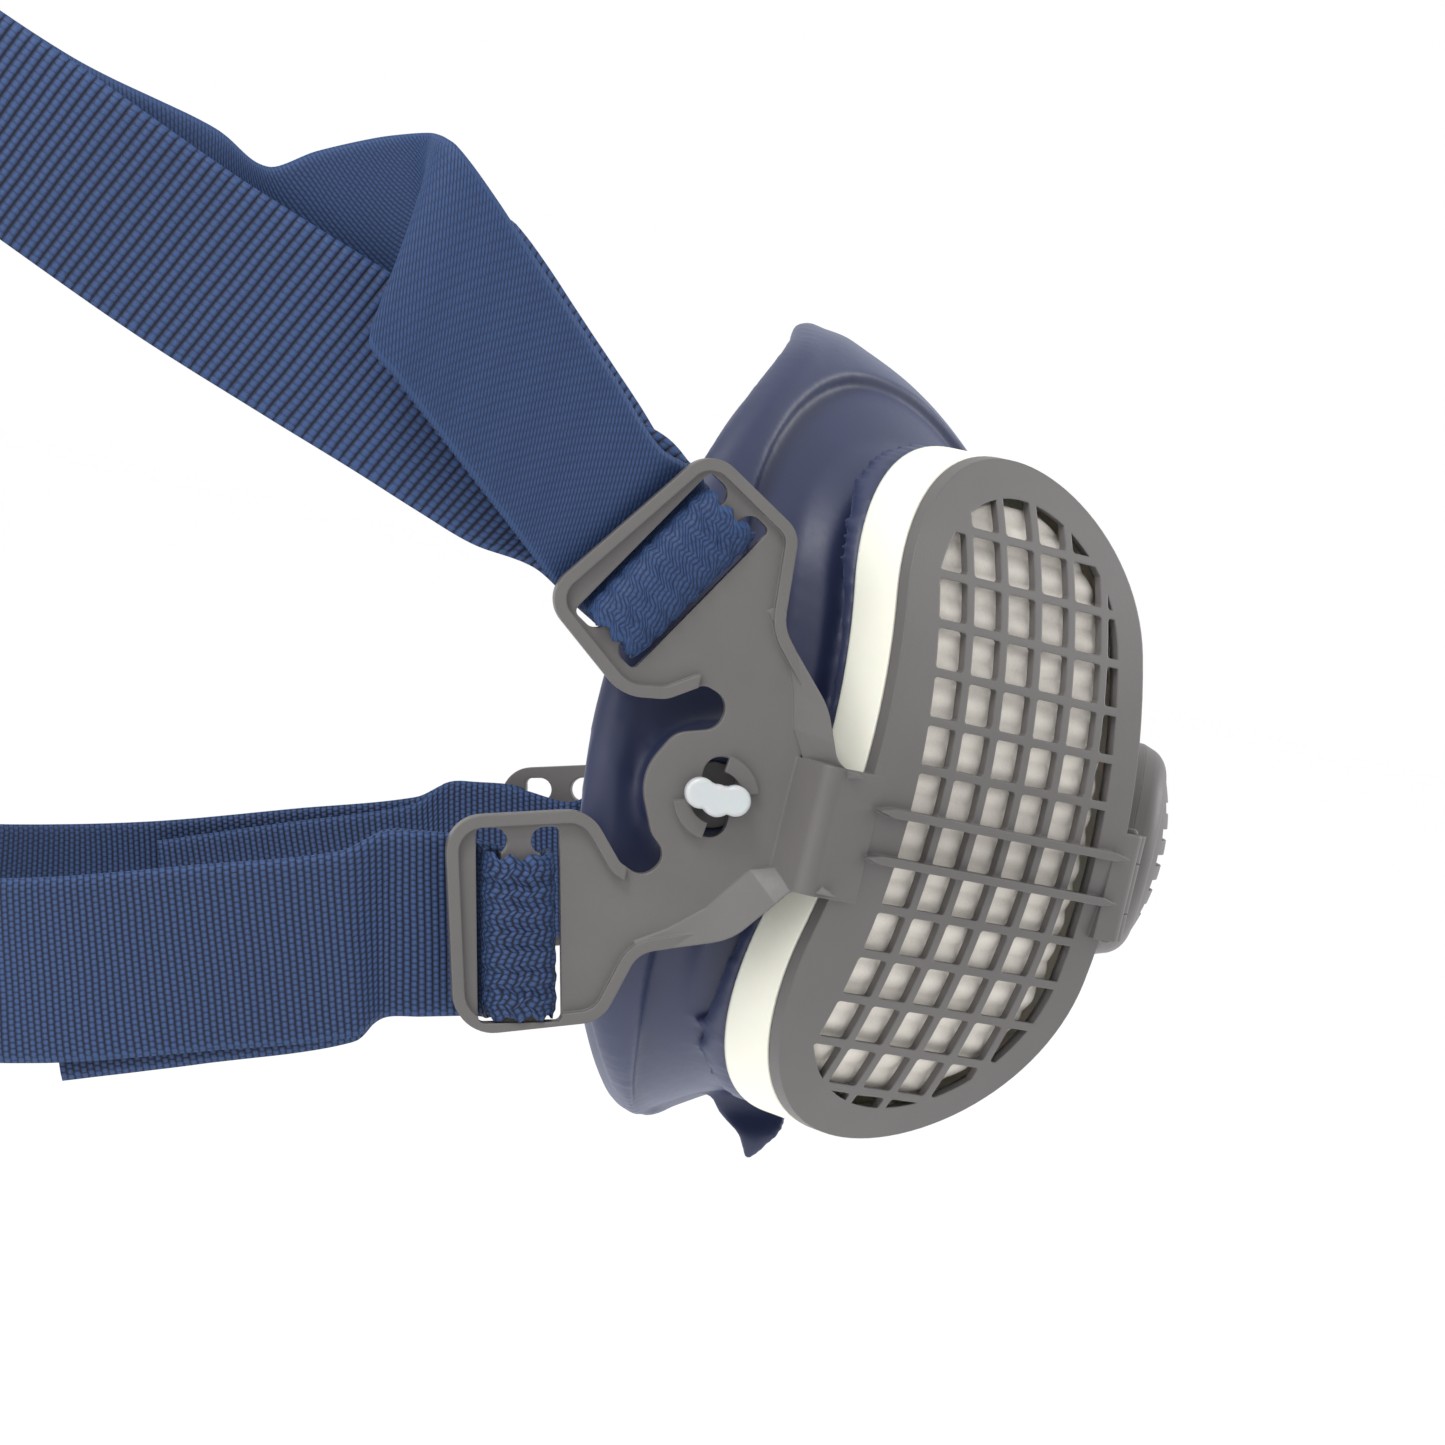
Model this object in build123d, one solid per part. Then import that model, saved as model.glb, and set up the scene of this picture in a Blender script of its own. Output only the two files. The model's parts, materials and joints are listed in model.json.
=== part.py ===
"""Half-mask respirator with two curved particle filters, worn position, in millimetres.

Frame: +Z up along the long axis of the filters, -Y the way the wearer looks, and X = 0 the plane of
symmetry. The wearer's right is -X. The origin is the middle of the face seal, between nose and chin.
Every right-hand piece is modelled here and mirrored for the left.
"""
from build123d import *
import math
import os

# ---- Filters: an egg-shaped outline on a cylinder that curves up and down --------------------------
FILTER_TURN = 42.0                     # degrees that a filter's face turns forward from the side
FILTER_CENTRE = Vector(-52.0, -40.2, -1.5)   # on the outer face of the grille
BEND_RADIUS = 90.0                     # of the grille's outer face
TOP_RADIUS, TOP_CENTRE = 23.7, (0.5, 24.3)
BOTTOM_RADIUS, BOTTOM_CENTRE = 27.0, (0.0, -22.8)
GRILLE_THICKNESS, BAR_THICKNESS = 2.0, 1.2
CASE_DEPTHS = (2.3, 10.3)              # below the grille's outer face
CASE_WALL = 1.9
MEDIA_DEPTHS, MEDIA_CROWN = (3.2, 8.2), 1.65   # it stands up into the grille's hollow underside
GASKET_DEPTHS = (10.3, 10.9)
FLANGE_DEPTHS = (10.9, 12.7)
NECK_INSET, NECK_WALL, POCKET_DEPTH = 7.0, 3.0, 19.0
SPIGOT_RADIUS, SPIGOT_BORE, SPIGOT_END = 12.0, 10.4, 17.5
PORT_RADIUS = 14.0

# ---- Windows of the grille -------------------------------------------------------------------------
WINDOW = 5.4
WINDOW_CORNER = 0.5
COLUMN_PITCH, ROW_PITCH = 6.75, 6.6
COLUMNS, ROWS = 6, 14
FIRST_COLUMN, FIRST_ROW = -14.2, 40.2  # centre of the rearmost column and of the top row
RIM = 5.2                              # solid border round the windows
RIB_ROWS = (-2.7, -9.3)                # two stiffening ribs on the bars between rows
RIB_WIDTH, RIB_HEIGHT = 1.2, 1.6

# ---- Arm, hinge and harness plate ------------------------------------------------------------------
ARM_MIDDLE, ARM_WIDTH = -8.5, 17.6     # height of its middle, and its width up and down
HINGE_AT = (-27.6, -60.4)
HINGE_LENGTH, MIDDLE_KNUCKLE, KNUCKLE_GAP = 15.4, 7.0, 0.3
PIN_RADIUS, KNUCKLE_RADIUS, PIN_CLEARANCE, PIN_END = 1.0, 2.2, 0.06, 0.7
PLATE_FLARE = 8.0                      # degrees that the plate opens outwards to the rear
TOGGLE_AT = Vector(-70.3, -1.4, -7.5)  # on the outer face of the plate
PLATE_THICKNESS = 2.0
LIP_WIDTH, LIP_HEIGHT = 1.6, 1.1
FOLD_AT = -10.0                        # where the plate ends and the ramp to the arm starts
RAMP_TOP = (-73.3, -16.5)
STRAP_WIDTH, STRAP_THICKNESS = 25.0, 1.2
SLOT_WIDTH, BAR_SLOT_WIDTH, SLOT_LENGTH, SLOT_SPACING, SLOT_CORNER = 3.4, 2.6, 26.2, 8.3, 0.9
SLOT_RELIEF, SLOT_RELIEF_SHIFT = 1.9, 0.7

# Plate outline, clockwise: (towards the rear, up) from the toggle's axis, and the corner's radius.
PLATE_EDGE = [
    (-21.0, 7.2, 0), (-14.6, 7.8, 3.5), (-11.6, 15.3, 10), (-3.6, 24.2, 6), (-2.6, 37.2, 4),
    (11.6, 45.6, 4.5), (29.2, 21.0, 4.5), (15.5, 10.4, 6), (9.6, 11.3, 4), (4.9, 14.4, 2.2),
    (0.9, 13.0, 2.6), (1.9, 8.9, 2.6), (7.2, 7.2, 3.5), (10.6, 0.6, 7.5), (7.2, -6.8, 3.5),
    (4.2, -9.3, 2.4), (7.0, -12.9, 2.4), (10.6, -11.4, 2.0), (16.2, -5.4, 5),
    (34.9, -10.8, 5), (26.8, -39.2, 5.5), (8.0, -32.8, 5), (5.4, -22.8, 4),
    (-6.2, -18.2, 9), (-12.6, -9.4, 3), (-21.0, -9.2, 0),
]
# Part of the plate's edge that has no lip, round the hook's mouth and the toggle.
PLAIN_EDGE = [(-3, 18), (5.8, 18), (5.8, 13.0), (9.0, 9.6), (13, 9.6), (12.6, -6.5), (9.6, -10.6), (9.4, -14.5),
              (-3, -14.5)]
# The flanges in which the lip widens and climbs to the arm, above and below it. Each station is the
# inner and the outer edge: (towards the rear, up, height of its top, height of its underside).
FLANGES = [
    [((-1.0, 25.9, 0.2, -2), (-2.6, 27.0, 1.1, -2)), ((-3.1, 23.4, 0.2, -2), (-5.2, 24.4, 1.6, -2)),
     ((-5.3, 20.4, 0.2, -2), (-9.0, 20.2, 2.6, -1.5)), ((-7.0, 16.0, 0.2, -2), (-12.2, 15.4, 3.7, -0.5)),
     ((-8.1, 11.3, 0.2, -2), (-14.2, 10.9, 4.7, 1.0)), ((-10.7, 7.0, 0.6, -1.6), (-16.0, 8.4, 5.2, 2.4)),
     ((-13.5, 6.0, 3.0, 0.6), (-18.6, 7.2, 5.4, 3.6))],
    [((6.2, -21.4, 0.2, -2), (5.3, -24.0, 1.1, -2)), ((2.2, -18.8, 0.2, -2), (0.6, -22.4, 1.6, -2)),
     ((-2.2, -14.9, 0.2, -2), (-5.2, -19.6, 2.6, -1.5)), ((-4.6, -11.4, 0.2, -2), (-8.6, -16.4, 3.7, -0.5)),
     ((-6.8, -8.4, 0.2, -2), (-11.4, -12.6, 4.7, 1.0)), ((-10.0, -7.4, 0.6, -1.6), (-14.0, -10.0, 5.2, 2.4)),
     ((-13.5, -7.4, 3.0, 0.6), (-18.6, -9.2, 5.4, 3.6))],
]
# Each buckle: the middle of its outer slot, and the direction in which its strap leaves.
BUCKLES = {"head": ((16.2, 30.25), (0.855, 0.518)), "neck": ((25.65, -23.6), (0.970, -0.243))}

# The strap's way through a buckle: (along the strap from the outer slot, above the plate's face).
BUCKLE_ROUTE = [(14, -3.3), (2.6, -3.3), (0.5, -2.0), (-0.2, 0.4), (-1.6, 1.2), (-6.6, 1.2),
                (-8.0, 0.4), (-8.4, -2.2), (-7.4, -4.6), (-5.4, -5.3), (2.0, -5.3), (14, -5.3)]

# ---- Toggle ----------------------------------------------------------------------------------------
TOGGLE_STEM, TOGGLE_CLEARANCE = 1.5, 0.08
TOGGLE_HEAD_LENGTH, TOGGLE_LOBE, TOGGLE_HEAD_THICKNESS = 9.0, 2.1, 2.0
TOGGLE_SLOT_LENGTH, TOGGLE_SLOT_WIDTH = 11.0, 4.8
RAMP_INNER, RAMP_OUTER, RAMP_HEIGHT = 3.6, 5.8, 1.0
RAMP_STARTS, RAMP_TURN = (96, -84), 66   # degrees round the toggle
BUSH_RADIUS, BUSH_TOP, BUSH_LENGTH = 4.5, -3.4, 7.0
BOSS_RADIUS = 8.0

# ---- Facepiece -------------------------------------------------------------------------------------
# (y, half width, top, bottom) of its outer sections, from the face to the front.
SECTIONS = [(22, 61, 58, -55), (8, 60.5, 60, -57.5), (-6, 55, 58.8, -56.5), (-18, 46.5, 53.5, -51.5),
            (-30, 36.5, 43.5, -43), (-40, 28, 31, -33), (-47, 21, 19.5, -27)]
PEAR, SQUARENESS = -0.17, 2.45         # narrower at the nose, and fuller than an ellipse
FACE_WALL = 2.6
SEAL_RADIUS, SEAL_DEEPEST, SEAL_LEVEL = 108.0, 17.0, 1.0
SEAL_LIP_THICKNESS, SEAL_LIP_WIDTH, SEAL_DEPTH = 1.8, 12.0, 5.5
BOSS_LENGTH, BOSS_TAPER = 16.0, 12.0
# The chin spout, side on: its outer skin's three corners and tip, and the hollow that opens forwards.
SPOUT_OUTER, SPOUT_INNER, SPOUT_FLOOR = 11.0, 9.2, -50.5
SPOUT_SKIN = [(-10.0, SPOUT_FLOOR), (-12.2, -53.5), (-16.0, -57.5), (-18.3, -62.0), (-26.5, SPOUT_FLOOR)]
SPOUT_HOLLOW = [(-15.0, -50.0), (-16.5, -55.0), (-18.9, -64.0), (-34.0, -64.0), (-34.0, -50.0)]

# ---- Exhalation valve ------------------------------------------------------------------------------
VALVE_LEVEL = -4.5
HOUSING_RADIUS, HOUSING_BORE, HOUSING_Y = 16.0, 13.2, (-47.0, -61.5)
COVER_FRONT = -68.0
COVER_WALL = 1.6

# ---- Pieces on the straps, behind the head ----------------------------------------------------------
SLIDER_AT, SLIDER_HALF, SLIDER_THICKNESS = (0, 183.05, 82.5), 11.5, 1.4
CLASP_AT, CLASP_THICKNESS = (0, 134.8, -61.0), 1.8

RIGHT, LEFT = "right", "left"


def filter_plane(height=0.0):
    """Sketch plane on the filter's face: x towards the front, y up, z outwards."""
    turn = math.radians(FILTER_TURN)
    outwards = Vector(-math.cos(turn), -math.sin(turn), 0)
    forwards = Vector(math.sin(turn), -math.cos(turn), 0)
    return Plane(origin=FILTER_CENTRE + outwards * height, x_dir=forwards, z_dir=outwards)


def plate_plane(height=0.0):
    """Sketch plane on the harness plate's outer face, or height outside it: x rearwards, y up, z inwards."""
    flare = math.radians(PLATE_FLARE)
    outwards = Vector(-math.cos(flare), -math.sin(flare), 0)
    rearwards = Vector(-math.sin(flare), math.cos(flare), 0)
    return Plane(origin=TOGGLE_AT + outwards * height, x_dir=rearwards, z_dir=-outwards)


def egg(inset=0.0):
    """The filter's outline as a face: two circles and their common tangents."""
    (xt, yt), (xb, yb) = TOP_CENTRE, BOTTOM_CENTRE
    rt, rb = TOP_RADIUS - inset, BOTTOM_RADIUS - inset
    dx, dy = xt - xb, yt - yb
    apart = math.hypot(dx, dy)
    lean = math.asin((rb - rt) / apart)
    up = math.atan2(dy, dx)
    right, left = up - math.pi / 2 + lean, up + math.pi / 2 - lean

    def at(centre, radius, angle):
        return (centre[0] + radius * math.cos(angle), centre[1] + radius * math.sin(angle))

    top, bottom = TOP_CENTRE, BOTTOM_CENTRE
    edges = [
        Line(at(bottom, rb, right), at(top, rt, right)),
        ThreePointArc(at(top, rt, right), at(top, rt, up), at(top, rt, left)),
        Line(at(top, rt, left), at(bottom, rb, left)),
        ThreePointArc(at(bottom, rb, left), at(bottom, rb, up + math.pi), at(bottom, rb, right)),
    ]
    return make_face(Wire(edges))


def bend(depth):
    """Everything on the inner side of the surface that lies depth below the grille's outer face."""
    plane = filter_plane(-BEND_RADIUS)
    axis = Plane(origin=plane.origin, x_dir=plane.y_dir, z_dir=plane.x_dir)
    return axis * Cylinder(BEND_RADIUS - depth, 200)


def layer(face, depths):
    """A curved layer of the filter: a prism of the face between two depths."""
    prism = extrude(filter_plane(-60) * face, 70, dir=tuple(filter_plane().z_dir))
    return (prism & bend(depths[0])) - bend(depths[1])


def windows():
    """The grille's openings as one sketch: a grid clipped by the solid border."""
    pane = RectangleRounded(WINDOW, WINDOW, WINDOW_CORNER)
    places = [
        Pos(FIRST_COLUMN + i * COLUMN_PITCH, FIRST_ROW - j * ROW_PITCH)
        for i in range(COLUMNS)
        for j in range(ROWS)
    ]
    cut = Sketch() + [place * pane for place in places]
    clipped = cut & egg(RIM)
    return [face for face in clipped.faces() if face.area > 0.8]


def buckle_points(name):
    """The middles of a buckle's two slots and their direction, in the plate's plane."""
    (x, y), (vx, vy) = BUCKLES[name]
    return (x, y), (x - vx * SLOT_SPACING, y - vy * SLOT_SPACING), math.degrees(math.atan2(vy, vx)) + 90


def rounded(corners):
    """A closed outline with its own radius at each corner, as a face; each corner is (x, y, radius)."""
    edges, ends = [], []
    count = len(corners)
    for i, (x, y, radius) in enumerate(corners):
        corner = Vector(x, y)
        before = (Vector(*corners[i - 1][:2]) - corner).normalized()
        after = (Vector(*corners[(i + 1) % count][:2]) - corner).normalized()
        if radius == 0:
            ends.append((corner, corner))
            continue
        half = math.acos(max(-1, min(1, before.dot(after)))) / 2
        back = radius / math.tan(half)
        middle = corner + (before + after).normalized() * (radius / math.sin(half) - radius)
        first, last = corner + before * back, corner + after * back
        edges.append(ThreePointArc(first, middle, last))
        ends.append((first, last))
    for i in range(count):
        start, finish = ends[i][1], ends[(i + 1) % count][0]
        if (finish - start).length > 1e-4:
            edges.append(Line(start, finish))
    return make_face(Wire(edges))


def plate_sketch():
    """The harness plate's outline."""
    return rounded(PLATE_EDGE)


def plate_openings():
    """The buckles' slots, with a round relief at each of their outer corners, and the toggle's keyhole."""
    cuts = []
    for name in BUCKLES:
        outer, inner, turn = buckle_points(name)
        for middle, wide in ((outer, SLOT_WIDTH), (inner, BAR_SLOT_WIDTH)):
            cuts.append(Pos(*middle) * Rot(0, 0, turn) * RectangleRounded(SLOT_LENGTH, wide, SLOT_CORNER))
        along = math.radians(turn)
        for middle, side in ((outer, -1), (inner, 1)):
            (vx, vy) = BUCKLES[name][1]
            for end in (-1, 1):
                reach = end * (SLOT_LENGTH / 2 - SLOT_RELIEF)
                x = middle[0] + reach * math.cos(along) + side * SLOT_RELIEF_SHIFT * vx
                y = middle[1] + reach * math.sin(along) + side * SLOT_RELIEF_SHIFT * vy
                cuts.append(Pos(x, y) * Circle(SLOT_RELIEF))
    cuts.append(Rot(0, 0, 90) * SlotOverall(TOGGLE_SLOT_LENGTH, TOGGLE_SLOT_WIDTH))
    return cuts


def raised(sketch, low, high):
    """A prism on the plate between two heights above its outer face."""
    plane = plate_plane(high)
    return extrude(plane * sketch, high - low, dir=tuple(plane.z_dir))


def sector(radius, start, turn):
    """A pie slice, in degrees, as a sketch."""
    def at(angle):
        return (radius * math.cos(math.radians(angle)), radius * math.sin(math.radians(angle)))

    arc = ThreePointArc(at(start), at(start + turn / 2), at(start + turn))
    return make_face(Wire([Line((0, 0), at(start)), arc, Line(at(start + turn), (0, 0))]))


def flange(stations, outline):
    """One flange between the plate's edge and the arm, cut flush with the plate's outline."""
    plane = plate_plane()
    sections = []
    for (x, y, top, low), (outer_x, outer_y, outer_top, outer_low) in stations:
        corners = [(x, y, low), (x, y, top), (outer_x, outer_y, outer_top), (outer_x, outer_y, outer_low)]
        points = [plane.from_local_coords((across, up, -height)) for across, up, height in corners]
        sections.append(make_face(Wire(Polyline(*points, close=True).edges())))
    return loft(sections, ruled=True) & raised(outline, -PLATE_THICKNESS, 8)


def harness_plate():
    """Flat plate with a raised lip, two buckles, a hook, and flanges where the lip climbs to the arm."""
    outline = plate_sketch()
    arm_root = Pos(-40 + FOLD_AT, 0) * Rectangle(80, 80)
    plate = raised(outline - arm_root, -PLATE_THICKNESS, 0)
    plain = make_face(Polyline(*PLAIN_EDGE, close=True))
    arm_side = Pos(-25, -0.9) * Rectangle(30, 2 * 7.4)
    border = outline - offset(outline, -LIP_WIDTH, kind=Kind.INTERSECTION) - plain - arm_side
    passages = []
    for name in BUCKLES:
        (x1, y1), (x2, y2), turn = buckle_points(name)
        passages.append(Pos((x1 + x2) / 2, (y1 + y2) / 2) * Rot(0, 0, turn) * Rectangle(SLOT_LENGTH, 10))
    lip = raised(border - passages - arm_root, -1, LIP_HEIGHT)
    plate = plate + lip + [flange(stations, outline) for stations in FLANGES]
    plate = plate - [raised(cut, -5, 6) for cut in plate_openings()]
    ring = Circle(RAMP_OUTER) - Circle(RAMP_INNER)
    ramps = [raised(ring & sector(12, start, RAMP_TURN), -0.5, RAMP_HEIGHT) for start in RAMP_STARTS]
    return plate + ramps


def arm():
    """The band from the hinge, over the grille's rim and down the ramp to the plate, plan view."""
    plane = filter_plane()
    front = plane.from_local_coords((24.0, 0, 0))
    rear = plane.from_local_coords((-23.0, 0, 0))
    fold = plate_plane().from_local_coords((FOLD_AT, 0, 0))
    inward = plate_plane().from_local_coords((FOLD_AT, 0, GRILLE_THICKNESS))
    z_low = ARM_MIDDLE - ARM_WIDTH / 2
    half = GRILLE_THICKNESS / 2
    level = Plane.XY.offset(z_low)

    def band(points):
        path = FilletPolyline(*points, radius=1.2) if len(points) > 2 else Line(*points)
        return extrude(level * trace(path, GRILLE_THICKNESS), ARM_WIDTH)

    sunk = plane.z_dir * -half
    middle_fold = (fold + inward) * 0.5
    back = plate_plane().x_dir * 3.0
    rear_band = band([
        (rear.X + sunk.X, rear.Y + sunk.Y),
        (RAMP_TOP[0] + 0.4, RAMP_TOP[1] + 0.6),
        (middle_fold.X, middle_fold.Y),
        (middle_fold.X + back.X, middle_fold.Y + back.Y),
    ])
    corner = plane.from_local_coords((28.6, 0, 0))
    front_band = band([
        (front.X + sunk.X, front.Y + sunk.Y),
        (corner.X + sunk.X, corner.Y + sunk.Y),
        HINGE_AT,
    ])
    hinge_slab = Pos(0, 0, ARM_MIDDLE) * Box(200, 200, HINGE_LENGTH)
    return rear_band, front_band & hinge_slab


def knuckles(bore):
    """The filter frame's two hinge knuckles, which stand either side of the housing's, and their bore."""
    length = (HINGE_LENGTH - MIDDLE_KNUCKLE) / 2 - KNUCKLE_GAP
    reach = (HINGE_LENGTH - length) / 2
    barrels = [
        Pos(*HINGE_AT, ARM_MIDDLE + side * reach) * Cylinder(KNUCKLE_RADIUS, length) for side in (-1, 1)
    ]
    return barrels, Pos(*HINGE_AT, ARM_MIDDLE) * Cylinder(bore, 40)


def filter_frame():
    """Grille, arm and harness plate: one moulding, hinged at the front."""
    grille = layer(egg(), (0, GRILLE_THICKNESS)) - layer(egg(RIM - 0.4), (BAR_THICKNESS, GRILLE_THICKNESS + 1))
    plane = filter_plane(-40)
    for face in windows():
        grille -= extrude(plane * face, 60, dir=tuple(plane.z_dir))
    rear_band, front_band = arm()
    for y in RIB_ROWS:
        rib = make_face(Polyline((-24.0, y), (-21, y + RIB_WIDTH / 2), (23, y + RIB_WIDTH / 2),
                                 (26, y), (23, y - RIB_WIDTH / 2), (-21, y - RIB_WIDTH / 2), close=True))
        grille += layer(rib, (-RIB_HEIGHT, 1.0))
    barrels, bore = knuckles(PIN_RADIUS + PIN_CLEARANCE)
    gap_height = MIDDLE_KNUCKLE + 2 * KNUCKLE_GAP
    relief = Pos(*HINGE_AT, ARM_MIDDLE) * Cylinder(KNUCKLE_RADIUS + 0.7, gap_height)
    frame = harness_plate() + rear_band + grille + (front_band - relief) + barrels
    return frame - bore


def hinge_pin():
    """Moulded pin with domed ends that stand proud of the knuckles."""
    pin = Pos(*HINGE_AT, ARM_MIDDLE) * Cylinder(PIN_RADIUS, HINGE_LENGTH + 2 * PIN_END)
    return fillet(pin.edges().filter_by(GeomType.CIRCLE), PIN_END - 0.05)


def filter_case():
    """White tray that holds the pleats, with the spigot that plugs into the facepiece."""
    tray = layer(egg(), CASE_DEPTHS)
    tray -= layer(egg(CASE_WALL), (0, CASE_DEPTHS[1] - 1.5))
    plane = filter_plane(-SPIGOT_END)
    reach = SPIGOT_END - CASE_DEPTHS[1] + 1.2
    out = tuple(plane.z_dir)
    tray += extrude(plane * Circle(SPIGOT_RADIUS), reach, dir=out)
    return tray - extrude(plane * Circle(SPIGOT_BORE), reach + 2, dir=out)


def filter_media():
    crown = layer(egg(RIM + 0.4), (MEDIA_CROWN, MEDIA_DEPTHS[0] + 0.1))
    return layer(egg(CASE_WALL + 0.1), MEDIA_DEPTHS) + crown


def filter_gasket():
    return layer(egg(1.2) - egg(4.4), GASKET_DEPTHS)


def port_axis(depth):
    """Plane across the inhalation port, depth below the grille, z outwards."""
    return filter_plane(-depth)


def inhalation_seat():
    """Ring with a cross and a stud, pressed into the facepiece's port."""
    plane = port_axis(23.0)
    out = tuple(plane.z_dir)
    ring = extrude(plane * (Circle(PORT_RADIUS) - Circle(10.8)), 3.6, dir=out)
    cross = Rectangle(22.5, 2.0) + Rectangle(2.0, 22.5)
    spider = extrude(plane * cross, 2.0, dir=out)
    stud = extrude(port_axis(27.0) * Circle(1.5), 4.5, dir=out)
    head = extrude(port_axis(27.0) * Circle(2.3), 0.9, dir=out)
    return ring + spider + stud + head


def inhalation_valve():
    plane = port_axis(23.95)
    return extrude(plane * (Circle(12.6) - Circle(1.62)), 0.8, dir=tuple(plane.z_dir))


def oval(y, half_width, top, bottom, inset=0.0):
    """A pear-shaped section of the facepiece, square to Y."""
    middle, half_height = (top + bottom) / 2, (top - bottom) / 2 - inset
    width = half_width - inset
    points = []
    steps = 16
    for i in range(steps):
        angle = 2 * math.pi * i / steps
        s, c = math.sin(angle), math.cos(angle)
        reach = (abs(s) ** SQUARENESS + abs(c) ** SQUARENESS) ** (-1 / SQUARENESS)
        x, z = reach * s, reach * c
        points.append(Vector(width * x * (1 + PEAR * z), y, middle + half_height * z))
    return make_face(Wire([Spline(*points, periodic=True)]))


def dome(inset=0.0, front=0.0):
    sections = [oval(y + (front if i else 0), w, t, b, inset) for i, (y, w, t, b) in enumerate(SECTIONS)]
    return loft(sections)


def seal_side(deeper=0.0):
    """Everything in front of the curved surface that the face seal lies on."""
    place = Pos(0, SEAL_DEEPEST - SEAL_RADIUS, SEAL_LEVEL) * Rot(0, 90, 0)
    return place * Cylinder(SEAL_RADIUS - deeper, 200)


def chin_spout():
    """Drip spout under the chin: a U-shaped skirt that points down."""
    start, bend_from, bend_at, tip, end = SPOUT_SKIN
    skin = Wire([Line(start, bend_from), ThreePointArc(bend_from, bend_at, tip), Line(tip, end), Line(end, start)])
    outer = extrude(Plane.YZ * make_face(skin), SPOUT_OUTER, both=True)
    hollow = make_face(Polyline(*SPOUT_HOLLOW, close=True))
    return outer - extrude(Plane.YZ * hollow, SPOUT_INNER, both=True)


def face_moulding():
    """The whole soft moulding: dome, seal, necks and flanges for the filters, and bosses for the toggles."""
    base = plate_plane(BUSH_TOP + 0.6)
    boss = extrude(base * Circle(BOSS_RADIUS), BOSS_LENGTH, dir=tuple(base.z_dir), taper=-BOSS_TAPER)
    neck = layer(egg(NECK_INSET), (FLANGE_DEPTHS[0], 42))
    flange = layer(egg(0.3), FLANGE_DEPTHS)
    body = dome() + boss + boss.mirror(Plane.YZ) + neck + neck.mirror(Plane.YZ)
    body = (body & seal_side()) + flange + flange.mirror(Plane.YZ) + chin_spout()
    floor = layer(egg(NECK_INSET), (0, POCKET_DEPTH + FACE_WALL))
    body -= (dome(FACE_WALL, FACE_WALL) & seal_side(SEAL_LIP_THICKNESS)) - floor - floor.mirror(Plane.YZ)
    _, half_width, top, bottom = SECTIONS[1]
    mouth = extrude(oval(-20, half_width, top, bottom, SEAL_LIP_WIDTH), 60, dir=(0, 1, 0))
    body -= mouth - seal_side(SEAL_LIP_THICKNESS + 0.6)
    pocket = layer(egg(NECK_INSET + NECK_WALL), (0, POCKET_DEPTH))
    port = port_axis(45.0)
    port = extrude(port * Circle(PORT_RADIUS), 40, dir=tuple(port.z_dir))
    deep = plate_plane(BUSH_TOP + 1)
    socket = extrude(deep * Circle(BUSH_RADIUS), BUSH_LENGTH + 1, dir=tuple(deep.z_dir))
    for cut in (pocket, port, socket):
        body = body - cut - cut.mirror(Plane.YZ)
    outlet = Pos(0, -45, VALVE_LEVEL) * Rot(90, 0, 0) * Cylinder(HOUSING_BORE, 20)
    return body - outlet


def toggle_bush():
    """Plastic socket in the boss; the toggle turns in it and its foot is held under its top."""
    plane = plate_plane(BUSH_TOP)
    inward = tuple(plane.z_dir)
    bush = extrude(plane * Circle(BUSH_RADIUS), BUSH_LENGTH, dir=inward)
    bush -= extrude(plane * Circle(TOGGLE_STEM + TOGGLE_CLEARANCE), BUSH_LENGTH - 1, dir=inward)
    pocket = plate_plane(BUSH_TOP - 2.5)
    return bush - extrude(pocket * Circle(3.2), 2.6, dir=inward)


def toggle():
    """Quarter-turn toggle: a lobed head across the keyhole, on a stem that ends in a foot."""
    under = RAMP_HEIGHT + 0.35
    half = TOGGLE_HEAD_LENGTH / 2
    lobes = Sketch() + [
        Pos(x, y) * Circle(r)
        for x, y, r in ((half - 2.1, 0.2, 2.1), (2.1 - half, 0.2, 2.1), (0, -0.3, 2.2), (1.2, 0, 1.9), (-1.2, 0, 1.9))
    ]
    head = raised(lobes, under, under + TOGGLE_HEAD_THICKNESS)
    head = fillet(head.edges().group_by(Axis((0, 0, 0), tuple(plate_plane().z_dir)))[0], 0.6)
    stem = raised(Circle(TOGGLE_STEM), BUSH_TOP - 4.0, under + 0.5)
    foot = raised(Circle(3.0), BUSH_TOP - 4.9, BUSH_TOP - 2.7)
    return head + stem + foot


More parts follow.
